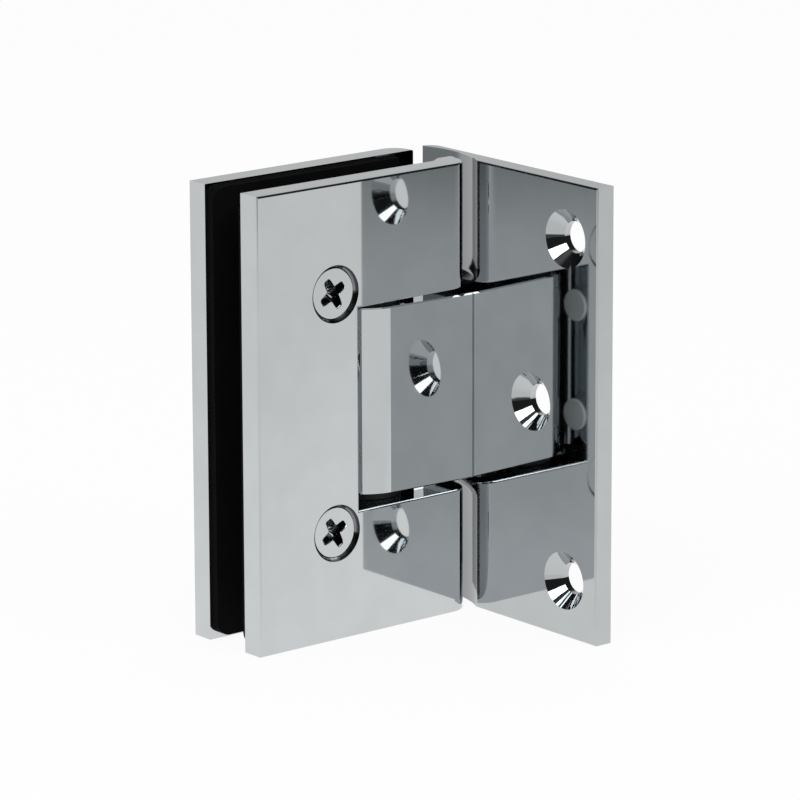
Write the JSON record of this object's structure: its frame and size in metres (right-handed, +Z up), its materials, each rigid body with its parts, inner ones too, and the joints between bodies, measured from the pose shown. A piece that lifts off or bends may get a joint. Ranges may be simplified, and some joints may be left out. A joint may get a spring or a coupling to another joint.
{
  "type": "glass door hinge",
  "caption": "Wall-to-glass shower door hinge at a right angle: offset wall plate, rounded hinge block and notched clamp plates with rubber pads that grip a glass pane.",
  "frame": {"origin": "on the wall, in the middle of the wall plate's back face", "axes": "+X out of the wall plate's back into the wall, +Y away from the viewer along the wall, +Z up along the pivot axis"},
  "size_m": [0.0578, 0.0566, 0.09],
  "materials": {
    "wall_plate_chrome": "mirror-polished chrome plating on brass",
    "block_chrome": "mirror-polished chrome plating on brass",
    "front_plate_chrome": "mirror-polished chrome plating on brass",
    "rear_plate_chrome": "mirror-polished chrome plating on brass",
    "screw_chrome": "chrome-plated steel screw",
    "screw_steel": "turned steel screw",
    "pin_steel": "ground stainless steel",
    "spring_steel": "drawn spring steel",
    "plunger_brass": "turned brass",
    "bush_plastic": "black acetal",
    "washer_plastic": "black nylon",
    "gasket_rubber": "matt black sheet rubber",
    "buffer_plastic": "soft grey elastomer"
  },
  "bodies": {
    "wall_side": {"wall_plate": "wall_plate_chrome", "hinge_block": "block_chrome", "upper_block_screw": "screw_steel", "lower_block_screw": "screw_steel", "upper_bush": "bush_plastic", "lower_bush": "bush_plastic", "upper_washer": "washer_plastic", "lower_washer": "washer_plastic", "upper_plunger": "plunger_brass", "lower_plunger": "plunger_brass", "upper_spring": "spring_steel", "lower_spring": "spring_steel"},
    "door_side": {"front_clamp_plate": "front_plate_chrome", "rear_clamp_plate": "rear_plate_chrome", "front_gasket": "gasket_rubber", "rear_gasket": "gasket_rubber", "pivot_pin": "pin_steel", "upper_clamp_screw": "screw_chrome", "lower_clamp_screw": "screw_chrome", "upper_buffer": "buffer_plastic", "lower_buffer": "buffer_plastic"}
  },
  "joints": [
    {"name": "door_swing", "type": "hinge", "parent": "wall_side", "child": "door_side", "pos_m": [-0.0234, 0.01925, 0], "axis": [0, 0, 1], "range_deg": [-90, 90]}
  ]
}
